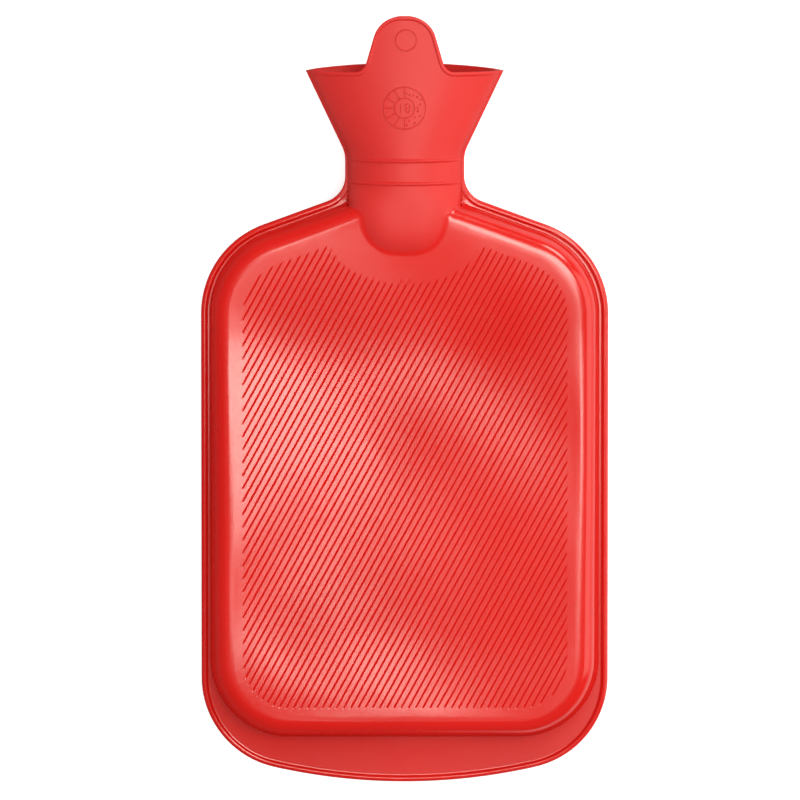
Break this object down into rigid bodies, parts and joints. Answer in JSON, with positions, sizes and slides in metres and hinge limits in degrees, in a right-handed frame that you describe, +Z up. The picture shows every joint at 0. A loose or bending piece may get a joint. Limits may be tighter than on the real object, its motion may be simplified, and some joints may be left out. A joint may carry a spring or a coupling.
{
  "type": "hot water bottle",
  "caption": "Red rubber hot water bottle with a diagonally grooved front panel, a funnel mouth with a hanging tab and a screw stopper, lying on its back",
  "frame": {"origin": "Middle of the footprint on the floor that the bottle lies on: X and Y at the middle of the overall size, Z = 0 under the back panel.", "axes": "+X across the bottle, +Y from the bottom edge to the funnel and its tab, +Z up through the grooved front panel. The neck's axis runs along Y at Z = 20 mm."},
  "size_m": [0.2, 0.3798, 0.0397],
  "materials": {
    "red_rubber": "semi-gloss moulded rubber, saturated red",
    "socket_plastic": "matte off-white moulded plastic",
    "washer_rubber": "matte black rubber",
    "stopper_plastic": "satin black moulded plastic"
  },
  "bodies": {
    "bottle": {"bottle_body": "red_rubber", "neck_socket": "socket_plastic"},
    "washer": {"stopper_washer": "washer_rubber"},
    "stopper": {"stopper": "stopper_plastic"}
  },
  "joints": [
    {"name": "stopper_rise", "type": "slide", "parent": "bottle", "child": "washer", "axis": [0, 1, 0], "range_m": [0, 0.014]},
    {"name": "stopper_turn", "type": "hinge", "parent": "washer", "child": "stopper", "pos_m": [0, 0.12335, 0.02], "axis": [0, 1, 0], "range_deg": [0, 1260]}
  ],
  "couplings": [
    {"joint": "stopper_rise", "follows": "stopper_turn", "m_per_rad": 0.00063661}
  ]
}
